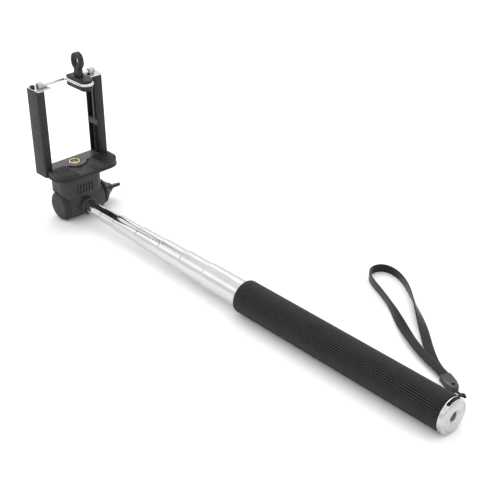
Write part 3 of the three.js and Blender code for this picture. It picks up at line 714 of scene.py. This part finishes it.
def make_tubes(material):
    """Thin tubes with turned-in front lips. All but the largest flare at the rear."""
    tubes = 7
    smallest_radius = 5.5 * MM
    radius_step = 0.8 * MM
    wall = 0.4 * MM
    lip = 1.6 * MM
    lip_turn = 0.25 * MM
    rear_flare = 0.2 * MM
    flare_length = 20 * MM
    flare_taper = 2 * MM
    for number in range(1, tubes + 1):
        node = f"tube_{number}"
        (_, rear, _), (_, front, _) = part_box(node)
        outer = smallest_radius + radius_step * (number - 1)
        inner = outer - wall
        turn = lip_turn if number > 1 else 0
        flare = rear_flare if number < tubes else 0
        flare_end = rear + flare_length
        profile = [
            (outer + flare, rear), (outer + flare, flare_end), (outer, flare_end + flare_taper),
            (outer, front - lip), (outer - turn * 0.3, front - lip * 0.55),
            (outer - turn, front - lip * 0.1), (outer - turn * 1.5, front),
            (inner - turn + 0.05 * MM, front), (inner - turn, front - lip * 0.15),
            (inner - turn, front - lip * 0.5), (inner, front - lip),
            (inner, flare_end + flare_taper), (inner + flare, flare_end), (inner + flare, rear),
        ]
        dress(turned(f"drawn_{node}", profile, "Y", STICK_AXIS, 96), material, node)


def make_end_cap(material, bore_shade_metal):
    """A turned cap with a 1/4 inch thread, a line inside its rim and a slot for the strap."""
    (_, rear, _), (_, front, _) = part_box("end_cap")
    rim_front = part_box("grip_sleeve")[0][1] - GAP
    rim = 12.3 * MM
    spigot = 9.5 * MM
    bore = 3.2 * MM
    bore_depth = 14 * MM
    threads = 9
    pitch = 1.27 * MM
    thread_depth = 0.45 * MM
    first_thread = rear + 12.6 * MM
    profile = [(0, rear + bore_depth), (bore, rear + bore_depth)]
    for i in range(threads):
        top = first_thread - i * pitch
        profile += [(bore, top), (bore + thread_depth, top - pitch / 2)]
    profile += [
        (bore, rear + 1.1 * MM), (bore + 1.3 * MM, rear + 0.35 * MM), (bore + 1.5 * MM, rear),
        (rim - 2.6 * MM, rear), (rim - 2.45 * MM, rear + 0.25 * MM),
        (rim - 2.2 * MM, rear + 0.25 * MM), (rim - 2.1 * MM, rear + 0.05 * MM),
        (rim - 0.5 * MM, rear + 0.7 * MM), (rim, rear + 1.3 * MM), (rim, rim_front - 0.3 * MM),
        (rim - 0.3 * MM, rim_front), (spigot, rim_front), (spigot, front), (0, front),
    ]
    cap = turned("threaded_cap", profile, "Y", STICK_AXIS)
    half_slot, half_gap = 6 * MM, 1.2 * MM
    slot_floor, above_cap = 20.5 * MM, 30 * MM
    slot = rectangle(-half_slot, half_slot, SLOT_Y - half_gap, SLOT_Y + half_gap, 1.1 * MM)
    cut(cap, slab("cutter", slot, slot_floor, above_cap))
    dress(cap, material, "end_cap")
    darken_bore(cap, bore_shade_metal, "Y", AXIS_HEIGHT, bore + 0.6 * MM)


# ---------------------------------------------------------------- hinge and tilting head

BOLT_BORE = 2.9 * MM


def make_knuckle(material):
    """A barrel across the stick, flat underneath, with a boss for the first tube."""
    (left, rear, _), (right, _, _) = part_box("knuckle")
    barrel, rounding, edge = 12.9 * MM, 4.5 * MM, 1.2 * MM
    steps = 12
    profile = [(0, left)]
    for step in range(steps + 1):
        angle = math.pi / 2 * step / steps
        radius = barrel - rounding + rounding * math.sin(angle)
        profile.append((radius, left + rounding - rounding * math.cos(angle)))
    profile += [
        (barrel, right - edge), (barrel - edge * 0.3, right - edge * 0.3),
        (barrel - edge, right), (0, right),
    ]
    knuckle = turned("hinge_knuckle", profile, "X", STICK_AXIS)

    boss, chamfer, boss_front = 7 * MM, 0.8 * MM, -8 * MM
    boss_profile = [
        (0, rear), (boss - chamfer, rear), (boss, rear + chamfer), (boss, boss_front),
        (0, boss_front),
    ]
    join(knuckle, turned("boss", boss_profile, "Y", STICK_AXIS, 64))

    # The tongue turns in this slot, which is open to the front and the top.
    slot, half = 8.8 * MM, 6.3 * MM
    slot_top = AXIS_HEIGHT + 20 * MM
    wide = 30 * MM
    tube_bore, tube_bore_front = 5.85 * MM, -9.9 * MM
    nut_pocket, nut_left, nut_right = 4.7 * MM, -16.2 * MM, -11.6 * MM
    cut(
        knuckle,
        block(-wide, wide, -wide, wide, -20 * MM, 0),
        rod(slot, -half, half, "X", STICK_AXIS, 96),
        block(-half, half, 0, 20 * MM, AXIS_HEIGHT - slot, slot_top),
        block(-half, half, -slot, MM, AXIS_HEIGHT, slot_top),
        rod(tube_bore, rear - MM, tube_bore_front, "Y", STICK_AXIS, 64),
        rod(BOLT_BORE, -16 * MM, 21 * MM, "X", STICK_AXIS, 32),
        rod(nut_pocket, nut_left, nut_right, "X", STICK_AXIS, 6),
    )
    soften(knuckle, 0.35 * MM, 2, 50)
    dress(knuckle, material, "knuckle")


def make_tilt_head(material):
    """A rounded block that saddles the knuckle, with a tongue in its slot and shallow flutes."""
    half_width, half_depth = 19.5 * MM, 12 * MM
    bottom, top = AXIS_HEIGHT + 7.3 * MM, 43 * MM
    saddle, wide = 13.7 * MM, 30 * MM
    tongue, half_tongue, tongue_top = 8.3 * MM, 6 * MM, 27 * MM
    outline = rectangle(-half_width, half_width, -half_depth, half_depth, 8 * MM)
    head = slab("tilting_head", outline, bottom, top)
    cut(head, rod(saddle, -wide, wide, "X", STICK_AXIS))
    join(
        head,
        block(-half_tongue, half_tongue, -tongue, tongue, AXIS_HEIGHT, tongue_top),
        rod(tongue, -half_tongue, half_tongue, "X", STICK_AXIS, 96),
    )
    cut(head, rod(BOLT_BORE, -8 * MM, 8 * MM, "X", STICK_AXIS, 32))

    # A wide pocket holds the head of the camera stud, and a narrow bore lets its shank out.
    pocket, pocket_floor, pocket_top = 5.7 * MM, 28 * MM, 31.1 * MM
    shank, above_head = 3.3 * MM, 45 * MM
    stud_hole = [
        (0, pocket_floor), (pocket, pocket_floor), (pocket, pocket_top), (shank, pocket_top),
        (shank, above_head), (0, above_head),
    ]
    cut(head, turned("cutter", stud_hole, "Z", (0, 0, 0), 48))

    flutes, flute_pitch, half_flute = 6, 2.8 * MM, 0.75 * MM
    flute_floor_y, flute_bottom, flute_top = -11.1 * MM, 23.8 * MM, 31.6 * MM
    for i in range(flutes):
        x = (i - (flutes - 1) / 2) * flute_pitch
        cut(head, block(x - half_flute, x + half_flute, -14 * MM, flute_floor_y,
                        flute_bottom, flute_top))
    soften(head, 0.5 * MM, 3, 40)
    dress(head, material, "tilt_head")


def make_wing_knob(material):
    """A round flange that narrows to a point, with a flat wing across it."""
    (left, _, _), (right, _, _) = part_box("wing_knob")
    flange = 11 * MM
    bolt_end = 27.8 * MM
    point = left + 12.6 * MM
    profile = [
        (0, bolt_end), (BOLT_BORE, bolt_end), (BOLT_BORE, left), (flange - 0.8 * MM, left),
        (flange - 0.2 * MM, left + 0.2 * MM), (flange, left + 0.8 * MM),
        (flange, left + 2.2 * MM), (flange - 0.3 * MM, left + 2.7 * MM),
        (flange - MM, left + 3.1 * MM), (7.2 * MM, left + 6.2 * MM),
        (4.4 * MM, left + 10.2 * MM), (3.4 * MM, left + 12 * MM), (2.4 * MM, point), (0, point),
    ]
    knob = turned("wing_grip_knob", profile, "X", STICK_AXIS, 96)
    lean = math.radians(-25.4)

    def place(x, y, height):
        return (x, y * math.cos(lean) - height * math.sin(lean),
                AXIS_HEIGHT + y * math.sin(lean) + height * math.cos(lean))

    wing_left, half_wing, half_thick = 28.5 * MM, 7 * MM, 1.2 * MM
    outline = rectangle(wing_left, right, -half_wing, half_wing, 3 * MM)
    join(knob, slab("wing", outline, -half_thick, half_thick, place))
    soften(knob, 0.4 * MM, 3, 40)
    dress(knob, material, "wing_knob")


# ---------------------------------------------------------------- phone holder

SIDES = ((-1, "left"), (1, "right"))
SCREW_BORE = 1.2 * MM


def tray_outline(inset):
    """A tongue-shaped plate, rounded in front and notched at the back for the posts."""
    neck, side = 23 * MM - inset, 29.5 * MM - inset
    back, shoulder, front = 7.8 * MM - inset, -4.9 * MM - inset, -25 * MM + inset
    nose = 11 * MM - inset
    notch, corner = 0.6 * MM, 1.5 * MM
    return filleted([
        (neck, back, notch), (-neck, back, notch), (-neck, shoulder, notch),
        (-side, shoulder, corner), (-side, front, nose), (side, front, nose),
        (side, shoulder, corner), (neck, shoulder, notch),
    ], 10)


def make_tray(plastic, strip_plastic):
    """The tray, and the strip on its back part with a round bulge about the brass insert."""
    insert_hole = 5 * MM
    (_, _, low), (_, _, high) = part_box("base_tray")
    tray = slab("holder_tray", tray_outline(0), low, high)
    cut(tray, rod(insert_hole, low - MM, high + MM, "Z", steps=64))
    soften(tray, 0.6 * MM, 4)
    dress(tray, plastic, "base_tray")

    (_, _, low), (_, _, high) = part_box("rest_strip")
    half_strip, strip_front, strip_back = 23 * MM, -4.5 * MM, 7.8 * MM
    bulge_radius, bulge_back, clear = 10 * MM, 7 * MM, 14 * MM
    outline = rectangle(-half_strip, half_strip, strip_front, strip_back, 0.8 * MM)
    strip = slab("grey_strip", outline, low, high)
    bulge = rod(bulge_radius, low, high, "Z", steps=96)
    cut(bulge, block(-12 * MM, 12 * MM, bulge_back, clear, low - MM, high + MM))
    join(strip, bulge)
    cut(strip, rod(insert_hole, low - MM, high + MM, "Z", steps=64))
    soften(strip, 0.25 * MM, 2)
    dress(strip, strip_plastic, "rest_strip")


def make_thread_insert(material, bore_shade_metal):
    """A brass bush with rings for its thread."""
    (_, _, low), (_, _, high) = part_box("thread_insert")
    bore, outer = 3.25 * MM, 4.7 * MM
    threads, pitch, thread_depth = 3, 1.1 * MM, 0.35 * MM
    first_thread = high - 0.6 * MM
    profile = [
        (outer, low), (outer, high - 0.3 * MM), (outer - 0.3 * MM, high),
        (bore + 0.5 * MM, high), (bore, high - 0.5 * MM),
    ]
    for i in range(threads):
        top = first_thread - i * pitch
        profile += [(bore, top), (bore + thread_depth, top - 0.5 * MM)]
    profile.append((bore, low))
    insert = turned("brass_insert", profile, "Z", (0, 0, 0), 96)
    dress(insert, material, "thread_insert")
    darken_bore(insert, bore_shade_metal, "Z", 0, bore + 0.4 * MM)


def make_base_pad(material):
    """Ribbed at both raised ends, and dished with a soft wave in the middle."""
    (_, _, low), (_, _, high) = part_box("base_pad")
    pad_back = -4.8 * MM
    bulge_hole = 10.3 * MM
    pad = slab("rubber_pad", tray_outline(GAP), low, high)
    cut(pad, block(-40 * MM, 40 * MM, pad_back, 20 * MM, low - MM, high + MM))
    cut(pad, rod(bulge_hole, low - MM, high + MM, "Z", steps=96))

    dish_floor, dish_rim = 46.8 * MM, high - 0.8 * MM
    edge, edge_z = 13 * MM, high - 0.6 * MM
    wave, waves = 0.2 * MM, 9
    steps = 40
    outline = [Vector((-edge, high + MM)), Vector((-edge, edge_z))]
    for step in range(1, steps):
        x = -edge + 2 * edge * step / steps
        rise = (abs(x) / edge) ** 8
        z = dish_floor + (dish_rim - dish_floor) * rise + wave * math.sin(x / edge * waves)
        outline.append(Vector((x, z)))
    outline += [Vector((edge, edge_z)), Vector((edge, high + MM))]
    cut(pad, slab("cutter", outline, -40 * MM, 20 * MM, lambda x, z, y: (x, y, z)))

    grooves, first_groove, groove_pitch, half_groove = 6, 1.8 * MM, 2.2 * MM, 0.45 * MM
    for side, _ in SIDES:
        for i in range(grooves):
            x = side * (edge + first_groove + groove_pitch * i)
            cut(pad, block(x - half_groove, x + half_groove, -30 * MM, 10 * MM, edge_z, high + MM))
    soften(pad, 0.3 * MM, 2)
    dress(pad, material, "base_pad")


def make_post(side, name, material):
    """A channel open towards the phone, closed near the top by the boss for the screw."""
    node = f"post_{name}"
    (x0, y0, z0), (x1, y1, z1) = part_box(node)
    wall = 1.8 * MM
    open_x, deep_x, boss_x = 22 * MM, 30.5 * MM - wall, 26.5 * MM
    floor_z, boss_z = 47.3 * MM, 105.8 * MM
    post = slab(f"channel_{node}", rectangle(x0, x1, y0, y1, 1.6 * MM), z0, z1)
    cut(
        post,
        side_block(side, open_x, deep_x, y0 + wall, y1 - wall, floor_z, boss_z),
        side_block(side, open_x, boss_x, y0 + wall, y1 - wall, boss_z - MM, z1 + MM),
        rod(SCREW_BORE, boss_z + MM, z1 + MM, "Z", (side * SCREW_X, SCREW_Y, 0), 24),
    )
    soften(post, 0.45 * MM, 3, 40)
    dress(post, material, node)


def make_cap_plate(side, name, plate_material, screw_material):
    """The steel plate on a post, with a window for the slider, and its cross-head screw."""
    node = f"cap_plate_{name}"
    (x0, y0, z0), (x1, y1, z1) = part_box(node)
    at = (side * SCREW_X, SCREW_Y, 0)
    plate = slab(f"steel_{node}", rectangle(x0, x1, y0, y1, 1.4 * MM), z0, z1)
    cut(
        plate,
        side_block(side, 23.2 * MM, 26.2 * MM, -0.1 * MM, 3.1 * MM, z0 - MM, z1 + MM),
        rod(SCREW_BORE, z0 - MM, z1 + MM, "Z", at, 24),
    )
    soften(plate, 0.18 * MM, 2)
    dress(plate, plate_material, node)

    tip, shank = 107.2 * MM, 0.9 * MM
    head, seat = 1.9 * MM, z1 + GAP
    rim_height, dome_height, steps = 0.7 * MM, 1.3 * MM, 6
    profile = [(0, tip), (shank, tip), (shank, seat), (head, seat), (head, seat + rim_height)]
    for step in range(1, steps + 1):
        angle = math.pi / 2 * step / steps
        radius = head * math.cos(angle) if step < steps else 0
        profile.append((radius, seat + rim_height + dome_height * math.sin(angle)))
    screw = turned(f"dome_screw_{name}", profile, "Z", at, 48)
    long, short = MM, 0.25 * MM
    for half_x, half_y in ((short, long), (long, short)):
        cut(screw, block(at[0] - half_x, at[0] + half_x, at[1] - half_y, at[1] + half_y,
                         seat + 1.2 * MM, seat + 3 * MM))
    dress(screw, screw_material, f"cap_screw_{name}")


def make_slide_leg(side, name, plastic, clamp_metal):
    """The plastic slider in a post, with a metal clamp on top that grips the wire bow."""
    node = f"slide_leg_{name}"
    (_, _, low), (_, _, top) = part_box(node)
    inner, outer = 23.6 * MM, 25.9 * MM
    leg = side_block(side, inner, outer, 0.3 * MM, 2.7 * MM, low + 4 * MM, CLAMP_BASE_Z + MM)
    leg.name = f"slider_{name}"
    clamp_x = sorted((side * 21.4 * MM, side * outer))
    clamp = rectangle(*clamp_x, -0.7 * MM, 3.7 * MM, 0.7 * MM)
    join(
        leg,
        side_block(side, inner, 28.3 * MM, -2.4 * MM, 8.8 * MM, low, low + 5 * MM),
        slab("clamp", clamp, CLAMP_BASE_Z, top),
    )
    cut(leg, side_block(side, 20 * MM, 23.3 * MM, -0.2 * MM, 3.2 * MM,
                        CLAMP_BASE_Z - MM, WIRE_TOP_Z))
    soften(leg, 0.4 * MM, 3)
    dress(leg, plastic, node)
    leg.data.materials.append(clamp_metal)
    for face in leg.data.polygons:
        face.material_index = int(face.center.z > CLAMP_BASE_Z)


def make_spring(side, name, material):
    """A close coil from the bottom to the top of the spring's box."""
    node = f"spring_{name}"
    (_, _, low), (_, _, high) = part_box(node)
    wire, radius, turns, steps_per_turn = 0.45 * MM, 2.1 * MM, 14, 20
    x, y = side * SPRING_X, SPRING_Y
    steps = turns * steps_per_turn
    line = []
    for i in range(steps + 1):
        angle = 2 * math.pi * turns * i / steps
        height = low + wire + (high - low - 2 * wire) * i / steps
        line.append(Vector((x + radius * math.cos(angle), y + radius * math.sin(angle), height)))
    coil = swept(f"coil_{name}", line, circle(wire, 8))
    coil.data.materials.append(material)
    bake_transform(coil)
    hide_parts(node)


def make_wire_bow(material):
    """A wire from post to post, bent forward into a hairpin that carries the jaw."""
    (_, _, low), (_, _, high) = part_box("wire_bow")
    end, back, front, right = 23 * MM, 1.5 * MM, -23.5 * MM, 9.8 * MM
    bend, corner = right / 2 - 0.05 * MM, 2.4 * MM
    points = filleted([
        (-end, back, 0), (0, back, corner), (0, front, bend), (right, front, bend),
        (right, back, corner), (end, back, 0),
    ], 12)
    data = bpy.data.curves.new("chrome_wire", "CURVE")
    data.dimensions = "3D"
    data.bevel_depth = 1.4 * MM
    data.bevel_resolution = 8
    data.use_fill_caps = True
    spline = data.splines.new("POLY")
    spline.points.add(len(points) - 1)
    for target, point in zip(spline.points, points):
        target.co = (point[0], point[1], (low + high) / 2, 1)
    spline.use_smooth = True
    wire = bpy.data.objects.new("chrome_wire", data)
    bpy.context.collection.objects.link(wire)
    dress(wire, material, "wire_bow")


def jaw_outline(inset):
    left, right, front = -0.5 * MM + inset, 10.3 * MM - inset, -24 * MM + inset
    nose, corner = 5 * MM - inset, 0.6 * MM
    return filleted([
        (right, 0, corner), (left, 0, corner), (left, front, nose), (right, front, nose),
    ], 10)


def make_jaw(plastic, rubber):
    """Two plates that clasp the hairpin between them, and a grooved rubber sole underneath."""
    (_, _, lower_low), (_, _, core_top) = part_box("jaw_lower_plate")
    (_, _, upper_low), (_, _, upper_high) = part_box("jaw_upper_plate")
    (_, _, sole_low), (_, _, sole_high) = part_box("jaw_pad")
    plate_top = 116.8 * MM
    past_left, past_right = -2 * MM, 15 * MM
    lower = slab("lower_jaw", jaw_outline(0), lower_low, plate_top)
    core = slab("core", jaw_outline(2.2 * MM), plate_top - MM, core_top)
    cut(core, block(past_left, past_right, -GAP, 2 * MM, plate_top - 2 * MM, core_top + MM))
    join(lower, core)
    soften(lower, 0.35 * MM, 3, 40)
    dress(lower, plastic, "jaw_lower_plate")

    upper = slab("upper_jaw", jaw_outline(0), upper_low, upper_high)
    soften(upper, 0.5 * MM, 3, 40)
    dress(upper, plastic, "jaw_upper_plate")

    sole = slab("jaw_sole", jaw_outline(0.8 * MM), sole_low, sole_high)
    grooves, first_groove, groove_pitch = 8, -19.5 * MM, 2.4 * MM
    half_groove, groove_depth = 0.4 * MM, 0.35 * MM
    for i in range(grooves):
        y = first_groove + i * groove_pitch
        cut(sole, block(past_left, past_right, y - half_groove, y + half_groove,
                        sole_low - MM, sole_low + groove_depth))
    soften(sole, 0.2 * MM, 2)
    dress(sole, rubber, "jaw_pad")


def make_pull_tab(material):
    """A foot, a waisted neck and an oval ring."""
    (x0, _, low), (x1, _, _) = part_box("pull_tab")
    centre_y, ring_z = -9.8 * MM, 134.4 * MM
    half_ring, tall_ring = 5.8 * MM, 7 * MM
    half_hole, tall_hole = 3.7 * MM, 4.9 * MM
    foot, waist = 3.7 * MM, 2.8 * MM
    steps = 48
    stem = [
        Vector((foot, low)), Vector((foot, low + 1.6 * MM)),
        Vector((3.1 * MM, low + 2.6 * MM)), Vector((waist, low + 4 * MM)),
    ]
    opening = math.asin(waist / half_ring)
    outline = list(stem)
    for step in range(steps + 1):
        angle = opening - math.pi / 2 + (2 * math.pi - 2 * opening) * step / steps
        outline.append(Vector((half_ring * math.cos(angle), ring_z + tall_ring * math.sin(angle))))
    outline += [Vector((-p.x, p.y)) for p in reversed(stem)]

    def upright(y, z, x):
        return (x, centre_y + y, z)

    tab = slab("pull_loop", outline, x0, x1, upright)
    hole = [Vector((half_hole * y, ring_z + tall_hole * z)) for y, z in circle(1, steps)]
    cut(tab, slab("cutter", hole, x0 - MM, x1 + MM, upright))
    soften(tab, 0.7 * MM, 4, 40)
    dress(tab, material, "pull_tab")


# ---------------------------------------------------------------- everything

add_camera()

strap_nylon = woven_nylon("strap_nylon")
clasp_plastic = moulded_plastic("clasp_plastic", (0.035, 0.035, 0.037), (0.055, 0.055, 0.058), 0.45)
clasp = make_strap_crimp(clasp_plastic)
make_strap_webbing(strap_nylon)
make_strap_string(soft_rubber("string_nylon", (0.012, 0.012, 0.012), (0.04, 0.04, 0.04), 0.8))

black_plastic = moulded_plastic("black_plastic", (0.011, 0.011, 0.0115), (0.018, 0.018, 0.019), 0.46)
grey_plastic = moulded_plastic("grey_plastic", (0.045, 0.045, 0.046), (0.065, 0.065, 0.067), 0.27)
pad_rubber = soft_rubber("pad_rubber", (0.008, 0.008, 0.0085), (0.015, 0.015, 0.016), 0.5)
grip_rubber = soft_rubber("grip_rubber", (0.006, 0.006, 0.0065), (0.011, 0.011, 0.0115), 0.5)
chrome_tube = polished_metal("chrome_tube", (0.66, 0.66, 0.665), 0.1, (1, 0.03, 1))
chrome_plate = polished_metal("chrome_plate", (0.6, 0.6, 0.605), 0.14, (0.05, 1, 1))
nickel = turned_metal("turned_nickel", (0.55, 0.55, 0.54), 0.22, "Y")
# Darker, brownish metals for the walls and threads inside the bores: painted shade.
bore_shade_steel = polished_metal("bore_shade_steel", (0.2, 0.16, 0.15), 0.35, (1, 1, 1))
bore_shade_brass = polished_metal("bore_shade_brass", (0.3, 0.23, 0.12), 0.35, (1, 1, 1))
brass = turned_metal("turned_brass", (0.86, 0.7, 0.42), 0.2, "Z")
zinc = polished_metal("zinc_steel", (0.3, 0.3, 0.31), 0.35, (1, 1, 1))
clamp_metal = polished_metal("clamp_metal", (0.5, 0.5, 0.51), 0.25, (1, 1, 0.1))
black_oxide = polished_metal("black_oxide", (0.05, 0.05, 0.052), 0.35, (1, 1, 1))
glide_nylon = moulded_plastic("glide_nylon", (0.62, 0.6, 0.55), (0.72, 0.7, 0.66), 0.5)

make_grip(grip_rubber)
make_tubes(chrome_tube)
make_end_cap(nickel, bore_shade_steel)
make_knuckle(black_plastic)
make_tilt_head(black_plastic)
make_wing_knob(black_plastic)
make_tray(black_plastic, grey_plastic)
make_thread_insert(brass, bore_shade_brass)
make_base_pad(pad_rubber)
for side, name in SIDES:
    make_post(side, name, black_plastic)
    make_cap_plate(side, name, chrome_plate, black_oxide)
    make_slide_leg(side, name, black_plastic, clamp_metal)
    make_spring(side, name, black_oxide)
make_wire_bow(chrome_plate)
make_jaw(black_plastic, pad_rubber)
make_pull_tab(pad_rubber)
for node in ("hinge_bolt", "hinge_nut", "knob_washer", "camera_stud"):
    repaint(node, zinc)
for number in range(1, 7):
    repaint(f"glide_{number}", glide_nylon)

add_studio()
